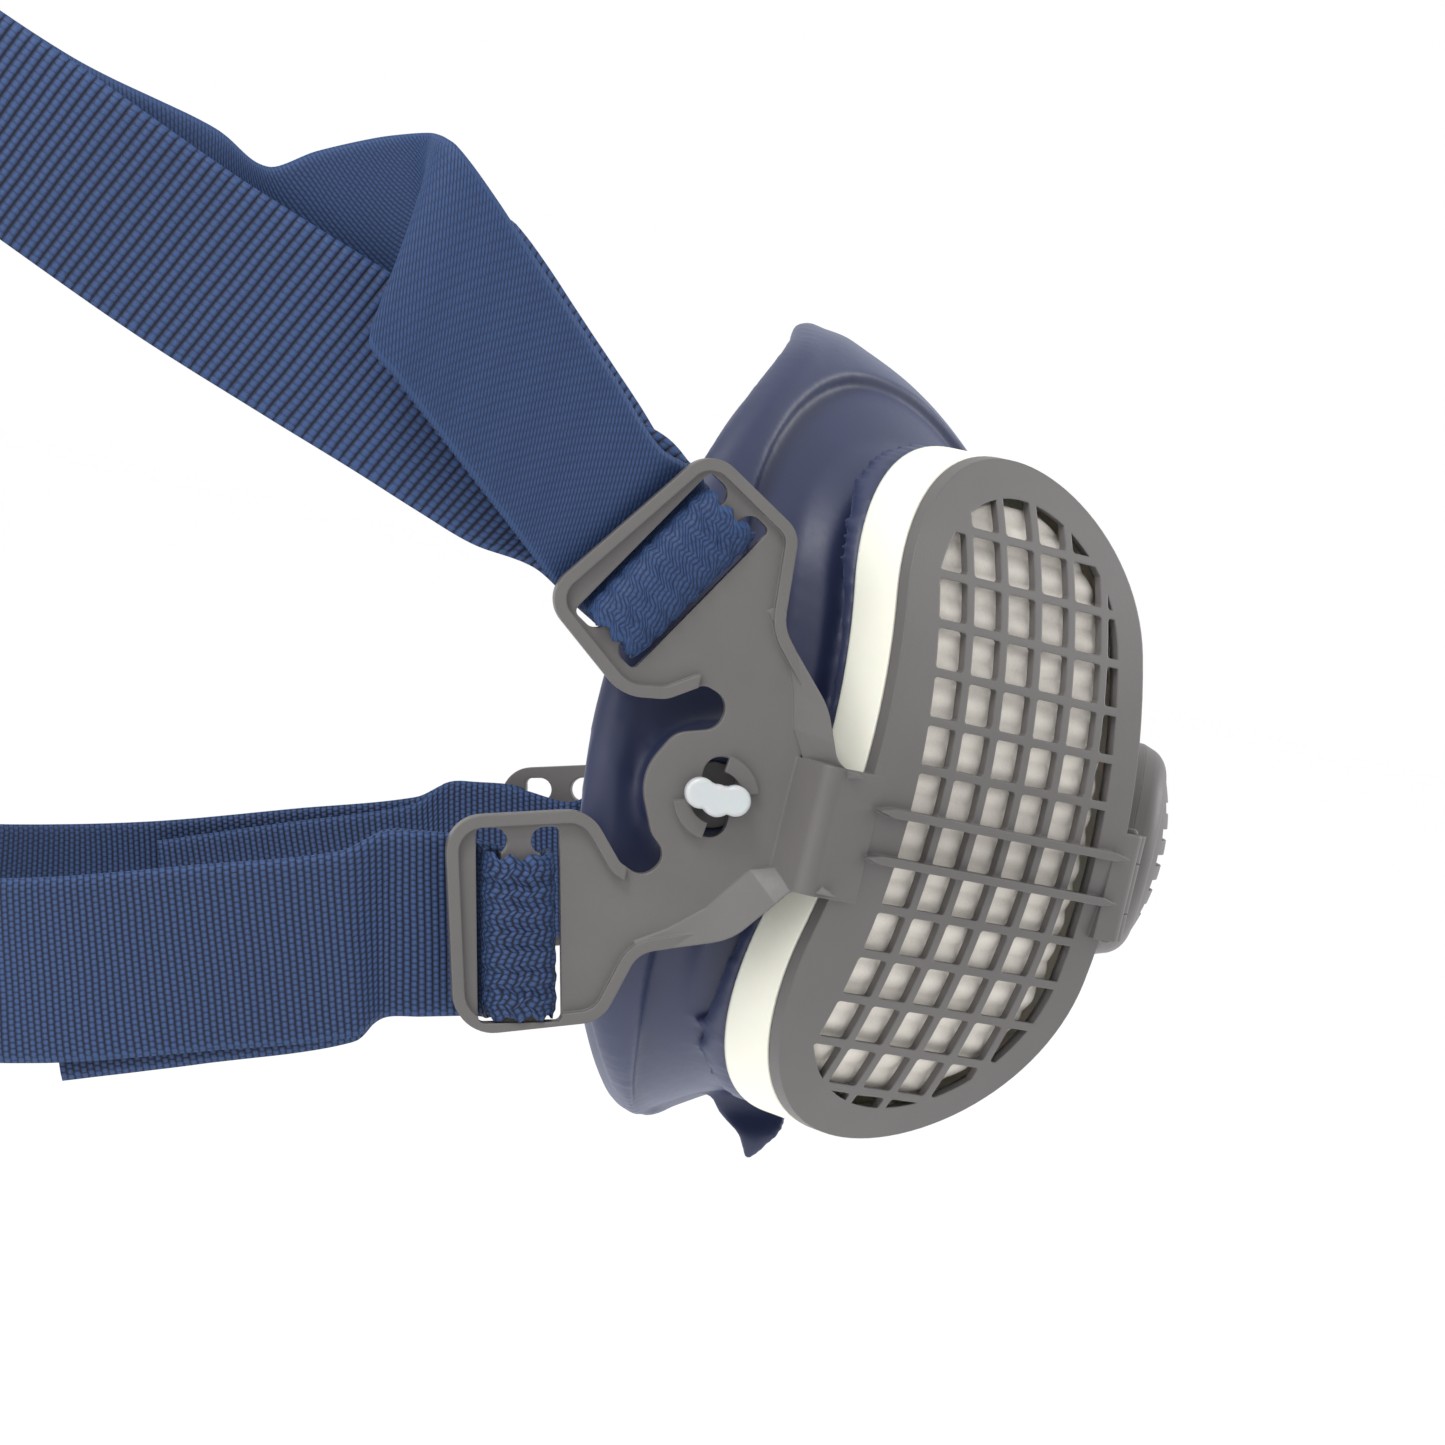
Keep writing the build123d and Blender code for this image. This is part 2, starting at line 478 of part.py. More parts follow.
def exhalation_housing():
    """Barrel for the exhalation valve, with a knuckle on each side for the filter frames."""
    back, front = HOUSING_Y
    ring = Circle(HOUSING_RADIUS) - Circle(HOUSING_BORE)
    face = Plane(origin=(0, back, VALVE_LEVEL), x_dir=(1, 0, 0), z_dir=(0, -1, 0))
    barrel = extrude(face * ring, back - front)
    collar = Circle(18.5) - Circle(HOUSING_BORE)
    barrel += extrude(face * collar, 2.0)
    seat = Plane(origin=(0, -52.0, VALVE_LEVEL), x_dir=(1, 0, 0), z_dir=(0, -1, 0))
    spider = (Circle(HOUSING_BORE + 0.5) - Circle(10.6)) + Rectangle(24, 2.2) + Rectangle(2.2, 24)
    barrel += extrude(seat * spider, 2.0)
    stud = Plane(origin=(0, -53.0, VALVE_LEVEL), x_dir=(1, 0, 0), z_dir=(0, -1, 0))
    barrel += extrude(stud * Circle(1.5), 5.0)
    barrel += extrude(stud.offset(4.6) * Circle(2.3), 0.9)
    low = ARM_MIDDLE - MIDDLE_KNUCKLE / 2
    x, y = HINGE_AT
    wing = Polyline((-14.2, -55.0), (-14.2, -61.0), (x, y - KNUCKLE_RADIUS), (x - 0.1, y + 1.5), close=True)
    wing = extrude(Plane.XY.offset(low) * make_face(wing), MIDDLE_KNUCKLE)
    knuckle = Pos(x, y, ARM_MIDDLE) * Cylinder(KNUCKLE_RADIUS, MIDDLE_KNUCKLE)
    pin_hole = Pos(x, y, ARM_MIDDLE) * Cylinder(PIN_RADIUS, 30)
    wing = wing + knuckle - pin_hole
    return barrel + wing + wing.mirror(Plane.YZ)


def exhalation_valve():
    plane = Plane(origin=(0, -54.1, VALVE_LEVEL), x_dir=(1, 0, 0), z_dir=(0, -1, 0))
    return extrude(plane * (Circle(12.4) - Circle(1.62)), 0.8)


def exhalation_cover():
    """Domed cap with louvres that open downwards."""
    back = HOUSING_Y[1]
    crown = COVER_FRONT + COVER_WALL
    shoulder = -64.0
    half = Wire([
        Line((0, back), (HOUSING_RADIUS, back)),
        Line((HOUSING_RADIUS, back), (HOUSING_RADIUS - 0.6, shoulder + 0.8)),
        ThreePointArc((HOUSING_RADIUS - 0.6, shoulder + 0.8), (14.0, -64.9), (12.0, -65.6)),
        ThreePointArc((12.0, -65.6), (6.5, -67.3), (0, COVER_FRONT)),
        Line((0, COVER_FRONT), (0, back)),
    ])
    cap = revolve(make_face(half), Axis.Y)
    bore = HOUSING_RADIUS - COVER_WALL
    hollow = Wire([
        Line((0, back), (bore, back)),
        Line((bore, back), (bore - 1.2, shoulder)),
        ThreePointArc((bore - 1.2, shoulder), (6.5, -65.7), (0, crown)),
        Line((0, crown), (0, back)),
    ])
    cap -= revolve(make_face(hollow), Axis.Y)
    for level, width in ((-7.6, 13), (-3.8, 17), (0.0, 19), (3.8, 17), (7.6, 13)):
        cap -= Pos(0, COVER_FRONT + 2, level) * Box(width, 7, 1.7)
    return Pos(0, 0, VALVE_LEVEL) * cap


def strap_slider():
    """Ladder buckle at the back of the head: the strap of each side goes round one of its outer bars."""
    plate = Box(2 * SLIDER_HALF, SLIDER_THICKNESS, STRAP_WIDTH + 8)
    for side in (-1, 1):
        plate -= Pos(side * 5.6, 0, 0) * Box(5.6, 5, STRAP_WIDTH + 1.4)
    plate = fillet(plate.edges().filter_by(Axis.Y).group_by(SortBy.LENGTH)[0], 0.6)
    return Pos(*SLIDER_AT) * plate


def clasp_loop():
    """Left half of the neck clasp: a frame with one slot for the strap and one for the hook."""
    plate = Pos(8.4, 0, 0) * Box(13.2, CLASP_THICKNESS, STRAP_WIDTH + 7)
    plate -= Pos(11.0, 0, 0) * Box(3.6, 5, STRAP_WIDTH + 1.4)
    plate -= Pos(6.0, 0, 0) * Box(3.4, 5, 18)
    return Pos(*CLASP_AT) * fillet(plate.edges().filter_by(Axis.Y), 0.6)


def clasp_hook():
    """Right half of the neck clasp: a plate whose tongue goes over the loop's bar and back through it."""
    plate = Pos(-7.6, 0, 0) * Box(11.6, CLASP_THICKNESS, STRAP_WIDTH + 7)
    plate -= Pos(-10.0, 0, 0) * Box(3.6, 5, STRAP_WIDTH + 1.4)
    plate = fillet(plate.edges().filter_by(Axis.Y), 0.6)
    path = FilletPolyline((-3.0, 0), (0.2, 0), (1.6, 2.5), (6.0, 2.5), (6.0, -2.2), (4.2, -2.2), radius=0.8)
    tongue = Pos(0, 0, -8) * extrude(trace(path, 1.5), 16)
    return Pos(*CLASP_AT) * (plate + tongue)


def ribbon(stations, thickness=STRAP_THICKNESS):
    """A strap as a closed solid through its stations: the middle, the way its width lies, and any own width."""
    path = [Vector(*station[0]) for station in stations]
    sections = []
    for i, (point, (_, way, *own)) in enumerate(zip(path, stations)):
        width = own[0] if own else STRAP_WIDTH
        before = (point - path[i - 1]).normalized() if i else (path[1] - point).normalized()
        after = (path[i + 1] - point).normalized() if i + 1 < len(path) else before
        side = Vector(*way).normalized()
        thick = (before + after).cross(side).normalized()
        half = thickness / 2 / max(0.6, math.sqrt((1 + before.dot(after)) / 2))
        a, b = side * (width / 2), thick * half
        corners = [point + a + b, point - a + b, point - a - b, point + a - b]
        sections.append(make_face(Wire(Polyline(*corners, close=True).edges())))
    return loft(sections, ruled=True)


def threaded(name):
    """A strap's stations in a buckle: in behind the outer bar, over the middle bar, and back out below."""
    (x, y), (vx, vy) = BUCKLES[name]
    plane = plate_plane()
    way = plane.from_local_coords((-vy, vx, 0)) - plane.origin
    if way.Z < 0:
        way = -way
    return [
        (tuple(plane.from_local_coords((x + v * vx, y + v * vy, -height))), tuple(way))
        for v, height in BUCKLE_ROUTE
    ]


# Stations of each strap's two layers, from the buckle round to the back: the middle of the strap, the
# way that its width lies, and its width where it spreads. The head strap's outer layer is slack and
# stands up in a crest.
CREST_WIDTH = 29.0
HEAD_TAIL = [((-77.0, 38.5, 39.5), (0.10, -0.60, 0.80)), ((-82.0, 55.1, 53.7), (0.12, -0.09, 0.99), CREST_WIDTH),
             ((-81.5, 64.0, 53.5), (0.12, 0.05, 0.99)), ((-80.5, 78.0, 50.0), (0.12, 0.05, 0.99)),
             ((-80.0, 106.0, 58.0), (0.10, -0.15, 0.98)), ((-72.0, 135.0, 67.5), (0.06, -0.1, 0.99)),
             ((-53.0, 163.0, 77.0), (0.03, -0.05, 0.99)), ((-31.0, 179.5, 81.5), (0, 0, 1)),
             ((-14.0, 184.4, 82.5), (0, 0, 1)), ((-8.5, 184.5, 82.5), (0, 0, 1))]
HEAD_RUN = [((-70.5, 42.0, 31.5), (0.05, -0.32, 0.95)), ((-73.5, 60.0, 37.6), (0.05, -0.34, 0.94)),
            ((-76.0, 84.0, 46.5), (0.06, -0.33, 0.94)), ((-75.5, 108.0, 55.5), (0.06, -0.3, 0.95)),
            ((-68.5, 134.0, 65.5), (0.05, -0.2, 0.98)), ((-50.5, 160.5, 75.5), (0.03, -0.1, 0.99)),
            ((-29.5, 176.2, 81.0), (0, 0, 1)), ((-13.5, 181.4, 82.5), (0, 0, 1)),
            ((-8.5, 181.5, 82.5), (0, 0, 1))]
NECK_TAIL = [((-71.0, 42.0, -39.0), (0, 0.30, 0.95)), ((-70.5, 62.0, -47.0), (0, 0.38, 0.93)),
             ((-67.5, 80.0, -54.0), (0, 0.36, 0.93))]
NECK_RUN = [((-74.5, 42.0, -38.0), (0, 0.30, 0.95)), ((-74.5, 60.0, -44.2), (0, 0.33, 0.94)),
            ((-71.5, 82.0, -51.5), (0, 0.30, 0.95)), ((-61.5, 103.0, -56.5), (0, 0.18, 0.98)),
            ((-45.0, 120.0, -59.0), (0, 0.1, 1)), ((-28.0, 130.5, -60.5), (0, 0.05, 1)),
            ((-12.5, 133.0, -61.0), (0, 0, 1))]


def strap(name, first, last):
    """One side's strap, from the end that comes in behind the buckle's outer bar to the other."""
    return ribbon([*reversed(first), *threaded(name), *last])


def main():
    os.makedirs("parts", exist_ok=True)
    sided = {
        "filter_frame": filter_frame(),
        "hinge_pin": hinge_pin(),
        "filter_case": filter_case(),
        "filter_media": filter_media(),
        "filter_gasket": filter_gasket(),
        "inhalation_seat": inhalation_seat(),
        "inhalation_valve": inhalation_valve(),
        "toggle_bush": toggle_bush(),
        "toggle": toggle(),
        "head_strap": strap("head", HEAD_TAIL, HEAD_RUN),
        "neck_strap": strap("neck", NECK_RUN, NECK_TAIL),
    }
    moulding = face_moulding()
    nodes = {
        "facepiece": moulding & seal_side(SEAL_DEPTH),
        "face_seal": moulding - seal_side(SEAL_DEPTH),
        "exhalation_housing": exhalation_housing(),
        "exhalation_valve": exhalation_valve(),
        "exhalation_cover": exhalation_cover(),
        "head_strap_slider": strap_slider(),
        "neck_clasp_loop": clasp_loop(),
        "neck_clasp_hook": clasp_hook(),
    }
    for name, shape in sided.items():
        nodes[f"{RIGHT}_{name}"] = shape
        nodes[f"{LEFT}_{name}"] = shape.mirror(Plane.YZ)
    for name, shape in nodes.items():
        export_step(shape, f"parts/{name}.step")
        print(name, round(shape.volume), shape.is_valid)


main()
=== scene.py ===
"""Half-mask respirator with curved particle filters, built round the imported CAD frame."""

import json
import math

import bpy
import bmesh
import numpy as np
from mathutils import Matrix, Vector


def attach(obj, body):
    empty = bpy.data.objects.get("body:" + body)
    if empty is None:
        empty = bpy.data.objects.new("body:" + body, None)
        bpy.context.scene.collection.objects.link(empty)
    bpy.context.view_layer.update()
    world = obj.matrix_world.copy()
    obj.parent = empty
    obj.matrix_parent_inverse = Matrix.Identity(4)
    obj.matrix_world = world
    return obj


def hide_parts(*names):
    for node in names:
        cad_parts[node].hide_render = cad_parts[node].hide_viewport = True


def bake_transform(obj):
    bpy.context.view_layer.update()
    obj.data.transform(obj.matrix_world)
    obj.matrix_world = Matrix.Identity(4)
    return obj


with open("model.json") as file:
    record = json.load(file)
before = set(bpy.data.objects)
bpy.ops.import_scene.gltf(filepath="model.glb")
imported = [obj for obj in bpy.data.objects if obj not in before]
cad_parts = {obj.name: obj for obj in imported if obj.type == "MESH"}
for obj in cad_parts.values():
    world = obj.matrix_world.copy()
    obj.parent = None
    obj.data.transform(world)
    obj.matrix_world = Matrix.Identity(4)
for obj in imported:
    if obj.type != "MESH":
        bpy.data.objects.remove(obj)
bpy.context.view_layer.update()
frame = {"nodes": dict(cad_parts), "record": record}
MM = 0.001
SIDES = (("right", 1.0), ("left", -1.0))

# ---- Places in the frame, in millimetres -----------------------------------------------------------
TOGGLE_AT = np.array([-70.3, -1.4, -7.5])
PLATE_FLARE = math.radians(8.0)
PLATE_OUT = np.array([-math.cos(PLATE_FLARE), -math.sin(PLATE_FLARE), 0.0])
PLATE_REAR = np.array([-math.sin(PLATE_FLARE), math.cos(PLATE_FLARE), 0.0])
UP = np.array([0.0, 0.0, 1.0])
BUCKLES = {"head": ((16.2, 30.25), (0.855, 0.518)), "neck": ((25.65, -23.6), (0.970, -0.243))}
FILTER_TURN = math.radians(42.0)
FILTER_CENTRE = np.array([-52.0, -40.2, -1.5])
FILTER_OUT = np.array([-math.cos(FILTER_TURN), -math.sin(FILTER_TURN), 0.0])
FILTER_FORE = np.array([math.sin(FILTER_TURN), -math.cos(FILTER_TURN), 0.0])
BEND_RADIUS = 90.0
STRAP_WIDTH, STRAP_THICKNESS = 25.0, 1.15
STRAP_COLUMNS, STRAP_STEP = 25, 0.8    # mesh columns across the strap, and rows along it
SCALLOP, SCALLOP_PITCH = 0.55, 2.9     # waves of its edges over a bar
GATHERED = (-4.1, 1.5)                 # where it is gathered: along the strap, above the plate
GATHER_REACH, DRAWN_REACH = 5.2, 6.0
LOOP_PITCHES = (3.3, 1.9)              # of the loops that stand up across a gathered strap
LOOP_LIFT, LOOP_WEAVE, LOOP_SLIDE, RIPPLE = 0.30, 0.24, 0.55, 0.05


# ---- Meshes ----------------------------------------------------------------------------------------
def mesh_piece(name, points, faces, materials, smooth=True):
    """A mesh object from points in millimetres."""
    mesh = bpy.data.meshes.new(name)
    mesh.from_pydata((np.asarray(points) * MM).tolist(), [], faces)
    for material in materials:
        mesh.materials.append(material)
    if smooth:
        mesh.shade_smooth()
    piece = bpy.data.objects.new(name, mesh)
    bpy.context.scene.collection.objects.link(piece)
    return piece


def mirrored(points, faces, sign):
    """Points and faces as they are for the right, or mirrored for the left with their faces turned back."""
    if sign > 0:
        return points, faces
    return points * np.array([-1.0, 1.0, 1.0]), [tuple(reversed(face)) for face in faces]


def applied(piece):
    """The piece's mesh with its modifiers made real."""
    graph = bpy.context.evaluated_depsgraph_get()
    mesh = bpy.data.meshes.new_from_object(piece.evaluated_get(graph))
    piece.modifiers.clear()
    piece.data = mesh
    return piece


# ---- Straps ----------------------------------------------------------------------------------------
def smooth_line(points, knots, at, closed):
    """A Catmull-Rom curve through points at their knots, read at the places in at."""
    points, knots = np.asarray(points, float), np.asarray(knots, float)
    if closed:
        total = knots[-1]
        points = points[:-1]
        count = len(points)
        rows = np.arange(-2, count + 3)
        ring = points[rows % count]
        knots = np.array([knots[r % count] + total * (r // count) for r in rows])
    else:
        ring = np.vstack([2 * points[0] - points[1], points, 2 * points[-1] - points[-2]])
        knots = np.concatenate([[2 * knots[0] - knots[1]], knots, [2 * knots[-1] - knots[-2]]])
    slopes = np.zeros_like(ring)
    slopes[1:-1] = (ring[2:] - ring[:-2]) / (knots[2:] - knots[:-2])[:, None]
    i = np.clip(np.searchsorted(knots, at, side="right") - 1, 1, len(ring) - 3)
    h = (knots[i + 1] - knots[i])[:, None]
    t = (at - knots[i])[:, None] / h
    t2, t3 = t * t, t * t * t
    return ((2 * t3 - 3 * t2 + 1) * ring[i] + (t3 - 2 * t2 + t) * h * slopes[i]
            + (3 * t2 - 2 * t3) * ring[i + 1] + (t3 - t2) * h * slopes[i + 1])


def threaded(name, first, last, narrower, higher):
    """Edge pairs of a strap in a buckle: in behind the outer bar, over the middle bar, back out below.

    Over the middle bar it is drawn in by narrower at each edge, and lies higher along the bar."""
    route = [(2.6, -3.3), (0.6, -2.1), (-0.3, 0.4), (-1.8, 1.35), (-4.1, 1.5), (-6.4, 1.35),
             (-8.0, 0.3), (-8.4, -2.2), (-7.4, -4.5), (-5.4, -5.2), (2.0, -5.3), (9.0, -5.3)]
    (x, y), (vx, vy) = BUCKLES[name]
    way = -vy * PLATE_REAR + vx * UP
    rows = []
    for v, height in [*first, *route, *last]:
        middle = TOGGLE_AT + PLATE_REAR * (x + v * vx) + UP * (y + v * vy) + PLATE_OUT * height
        drawn = math.exp(-((v - GATHERED[0]) / DRAWN_REACH) ** 4)
        middle = middle + way * higher * drawn
        half = STRAP_WIDTH / 2 - narrower * drawn
        rows.append((middle - way * half, middle + way * half))
    return rows


def spread(stations):
    """Edge pairs from (middle, the way that the width lies)."""
    rows = []
    for middle, way in stations:
        middle, way = np.array(middle, float), np.array(way, float)
        way = way / np.linalg.norm(way) * STRAP_WIDTH / 2
        rows.append((middle - way, middle + way))
    return rows


def webbing(name, rows, closed, gathered, sign, outer, inner):
    """An elastic strap through its edge pairs, with rolled edges, gathered where it goes over a bar."""
    across = STRAP_COLUMNS
    lower = np.array([row[0] for row in rows], float)
    upper = np.array([row[1] for row in rows], float)
    if closed:
        lower, upper = np.vstack([lower, lower[:1]]), np.vstack([upper, upper[:1]])
    middle = (lower + upper) / 2
    knots = np.concatenate([[0], np.cumsum(np.linalg.norm(np.diff(middle, axis=0), axis=1))])
    count = int(knots[-1] / STRAP_STEP)
    at = np.linspace(0, knots[-1], count, endpoint=not closed)
    low, high = smooth_line(lower, knots, at, closed), smooth_line(upper, knots, at, closed)
    centre = (low + high) / 2
    if closed:
        along = np.roll(centre, -1, axis=0) - np.roll(centre, 1, axis=0)
    else:
        along = np.gradient(centre, axis=0)
    along /= np.linalg.norm(along, axis=1)[:, None]
    side = high - low
    side /= np.linalg.norm(side, axis=1)[:, None]
    out = np.cross(side, along)
    out /= np.linalg.norm(out, axis=1)[:, None]
    pull = np.zeros(count)
    for point in gathered:
        near = np.linalg.norm(centre - np.array(point), axis=1)
        pull = np.maximum(pull, np.exp(-(near / GATHER_REACH) ** 4))
    scallop = (pull * SCALLOP * np.sin(at * math.tau / SCALLOP_PITCH))[:, None] * side
    low, high = low - scallop, high + scallop
    w = np.linspace(-1, 1, across)
    edge_bead = np.exp(-((np.abs(w) - 0.9) / 0.06) ** 2)
    thick = STRAP_THICKNESS / 2 * (1 - 0.75 * np.abs(w) ** 14) * (1 + 0.10 * edge_bead)
    millimetres = (w + 1) * STRAP_WIDTH / 2
    coarse, finer = LOOP_PITCHES
    wave = (np.sin(millimetres * 2 * math.pi / coarse)
            + 0.5 * np.sin(millimetres * 2 * math.pi / finer + 1.3))
    shift = np.sin(millimetres * 2 * math.pi / coarse + 0.9)
    rings, places = [], []
    for face, order in ((1, range(across)), (-1, range(across - 1, -1, -1))):
        for j in order:
            flat = low * (1 - w[j]) / 2 + high * (1 + w[j]) / 2
            lift = pull * (LOOP_LIFT * wave[j] + LOOP_WEAVE * np.sin(at * 2.9 + 2.4 * math.sin(1.3 * j)))
            slide = pull * LOOP_SLIDE * shift[j]
            ripple = RIPPLE * np.sin(at * 0.9 + 2.0 * w[j]) * (1 - pull)
            rings.append(flat + out * (face * thick[j] + lift + ripple)[:, None] + along * slide[:, None])
            places.append(millimetres[j])
    points = np.stack(rings, axis=1)
    per = points.shape[1]
    faces, which = [], []
    spans = count if closed else count - 1
    for i in range(spans):
        n = (i + 1) % count
        for j in range(per):
            k = (j + 1) % per
            faces.append((i * per + j, i * per + k, n * per + k, n * per + j))
            which.append((i, j))
    if not closed:
        faces.append(tuple(reversed(range(per))))
        faces.append(tuple((count - 1) * per + j for j in range(per)))
        which += [(0, 0), (0, 0)]
    flat_points, faces = mirrored(points.reshape(-1, 3), faces, sign)
    piece = mesh_piece(name, flat_points, faces, [outer, inner])
    mesh = piece.data
    layer = mesh.uv_layers.new(name="weave")
    ends = np.append(at, knots[-1])
    for polygon, (i, j) in zip(mesh.polygons, which):
        polygon.material_index = 0 if j < across - 1 else 1
        for loop in polygon.loop_indices:
            vertex = mesh.loops[loop].vertex_index
            row, column = divmod(vertex, per)
            v = ends[-1] if closed and i == count - 1 and row == 0 else ends[row]
            layer.data[loop].uv = (places[column] * MM * 10, v * MM * 10)
    return piece


# ---- Materials -------------------------------------------------------------------------------------
def new_material(name, roughness, **values):
    """A material, its node tree and its shader, with uniform values on the shader's own sockets."""
    material = bpy.data.materials.new(name)
    material.use_nodes = True
    tree = material.node_tree
    shader = tree.nodes["Principled BSDF"]
    shader.inputs["Roughness"].default_value = roughness
    for key, value in values.items():
        shader.inputs[key.replace("_", " ")].default_value = value
    return material, tree, shader


def put(tree, kind, values=(), links=(), **settings):
    """A node with settings, socket values and links into its sockets."""
    node = tree.nodes.new(kind)
    for key, value in settings.items():
        setattr(node, key, value)
    for key, value in dict(values).items():
        node.inputs[key].default_value = value
    for key, socket in dict(links).items():
        tree.links.new(socket, node.inputs[key])
    return node


def calc(tree, operation, a, b=0.0, c=0.0):
    """A math node on sockets or numbers."""
    node = tree.nodes.new("ShaderNodeMath")
    node.operation = operation
    for i, value in enumerate((a, b, c)):
        if isinstance(value, (int, float)):
            node.inputs[i].default_value = value
        else:
            tree.links.new(value, node.inputs[i])
    return node.outputs[0]


def ramp(tree, factor, stops):
    """A colour ramp through (place, linear colour)."""
    node = tree.nodes.new("ShaderNodeValToRGB")
    elements = node.color_ramp.elements
    while len(elements) < len(stops):
        elements.new(0.5)
    for element, (place, colour) in zip(elements, stops):
        element.position = place
        element.color = (*colour, 1.0)
    tree.links.new(factor, node.inputs[0])
    return node.outputs[0]


def noise(tree, place, size_mm, detail=3.0, roughness=0.55):
    """Noise whose grains are about size_mm across."""
    return put(tree, "ShaderNodeTexNoise", {"Scale": 1000.0 / size_mm, "Detail": detail,
               "Roughness": roughness}, {"Vector": place}).outputs["Fac"]


def tinted(colour, factor):
    return tuple(min(1.0, channel * factor) for channel in colour)


def moulded(name, colour, roughness, grain_mm, grain_depth, edge_mm, wear=0.12, dust=0.05, **values):
    """A moulding: fine grain, soft flow marks, slightly rounded edges that have worn paler."""
    material, tree, shader = new_material(name, roughness, **values)
    place = put(tree, "ShaderNodeTexCoord").outputs["Object"]
    flow = noise(tree, place, 14.0, 2.0)
    fine = noise(tree, place, grain_mm, 2.0)
    specks = noise(tree, place, 1.1, 5.0, 0.7)
    soft = put(tree, "ShaderNodeBevel", {"Radius": edge_mm * MM}, samples=6)
    hard = put(tree, "ShaderNodeNewGeometry").outputs["Normal"]
    facing = put(tree, "ShaderNodeVectorMath", (), {0: soft.outputs[0], 1: hard}, operation="DOT_PRODUCT")
    edge = calc(tree, "MULTIPLY", calc(tree, "SUBTRACT", 1.0, facing.outputs["Value"]), 4.0)
    edge = calc(tree, "MINIMUM", calc(tree, "MULTIPLY", edge, calc(tree, "ADD", specks, 0.3)), 1.0)
    blend = calc(tree, "ADD", calc(tree, "MULTIPLY", flow, 0.7), calc(tree, "MULTIPLY", specks, 0.3))
    base = ramp(tree, blend, [(0.25, tinted(colour, 1 - 1.6 * dust)), (0.5, colour),
                              (0.75, tinted(colour, 1 + 1.6 * dust))])
    worn = put(tree, "ShaderNodeMix", {7: (*tinted(colour, 1.9), 1.0)},
               {0: calc(tree, "MULTIPLY", edge, wear * 4), 6: base}, data_type="RGBA")
    tree.links.new(worn.outputs[2], shader.inputs["Base Color"])
    gloss = calc(tree, "MULTIPLY_ADD", specks, 0.16, roughness - 0.08)
    tree.links.new(calc(tree, "SUBTRACT", gloss, calc(tree, "MULTIPLY", edge, 0.08)),
                   shader.inputs["Roughness"])
    grain = put(tree, "ShaderNodeBump", {"Strength": 0.55, "Distance": grain_depth * MM},
                {"Height": fine, "Normal": soft.outputs[0]})
    tree.links.new(grain.outputs[0], shader.inputs["Normal"])
    return material


def woven(name, shaded_colour, lit_colour, cord_mm, bead_mm, slant, beads, depth_mm, selvedge):
    """Elastic webbing: cords across or along the strap, broken into stitches, with painted shade in the gaps:
    the colour runs with cord height from a shaded blue in the gaps to a lit blue on the cord tops.
    """
    material, tree, shader = new_material(name, 0.62, Sheen_Weight=0.15, Sheen_Roughness=0.45,
                                          Sheen_Tint=(0.35, 0.5, 0.9, 1.0), Specular_IOR_Level=0.3)
    uv = put(tree, "ShaderNodeUVMap", uv_map="weave").outputs[0]
    wobble = put(tree, "ShaderNodeTexNoise", {"Scale": 7.0, "Detail": 2.0}, {"Vector": uv}).outputs["Fac"]
    parts = put(tree, "ShaderNodeSeparateXYZ", (), {0: uv})
    u = calc(tree, "MULTIPLY", parts.outputs[0], 100.0)
    v = calc(tree, "MULTIPLY", parts.outputs[1], 100.0)
    v = calc(tree, "ADD", v, calc(tree, "MULTIPLY", wobble, 0.5))
    lean = calc(tree, "ADD", v, calc(tree, "MULTIPLY", u, slant))
    cord = calc(tree, "ABSOLUTE", calc(tree, "SINE", calc(tree, "MULTIPLY", lean, math.pi / cord_mm)))
    row = calc(tree, "MULTIPLY", calc(tree, "FLOOR", calc(tree, "DIVIDE", lean, cord_mm)), 0.5)
    stitch = calc(tree, "ADD", calc(tree, "DIVIDE", u, bead_mm), row)
    bead = calc(tree, "ABSOLUTE", calc(tree, "SINE", calc(tree, "MULTIPLY", stitch, math.pi)))
    height = calc(tree, "MULTIPLY", calc(tree, "POWER", cord, 0.7),
                  calc(tree, "MULTIPLY_ADD", calc(tree, "POWER", bead, 0.6), beads, 1 - beads))
    border = calc(tree, "ABSOLUTE", calc(tree, "SUBTRACT", calc(tree, "DIVIDE", u, STRAP_WIDTH / 2), 1.0))
    rim = calc(tree, "SMOOTH_MIN", calc(tree, "MAXIMUM",
               calc(tree, "MULTIPLY", calc(tree, "SUBTRACT", border, 0.88), 12.0), 0.0), 1.0, 0.1)
    rib = calc(tree, "ABSOLUTE", calc(tree, "SINE", calc(tree, "MULTIPLY", u, math.pi / 1.05)))
    height = calc(tree, "ADD", height, calc(tree, "MULTIPLY", calc(tree, "MULTIPLY", rib, rim), selvedge))
    fibre = put(tree, "ShaderNodeTexNoise", {"Scale": 420.0, "Detail": 2.0}, {"Vector": uv}).outputs["Fac"]
    shade = calc(tree, "MULTIPLY", height, calc(tree, "MULTIPLY_ADD", fibre, 0.7, 0.65))
    fade = put(tree, "ShaderNodeTexNoise", {"Scale": 1.6, "Detail": 1.0}, {"Vector": uv}).outputs["Fac"]
    shade = calc(tree, "MULTIPLY", shade, calc(tree, "MULTIPLY_ADD", fade, 0.4, 0.8))
    # Painted shade: the colour follows cord height, darkest in the gaps between cords and lightest on the
    # cord tops.
    colour = ramp(tree, shade, [(0.08, tinted(shaded_colour, 0.45)), (0.38, shaded_colour), (0.95, lit_colour)])
    tree.links.new(colour, shader.inputs["Base Color"])
    bump = put(tree, "ShaderNodeBump", {"Strength": 0.9, "Distance": depth_mm * MM}, {"Height": height})
    tree.links.new(bump.outputs[0], shader.inputs["Normal"])
    return material


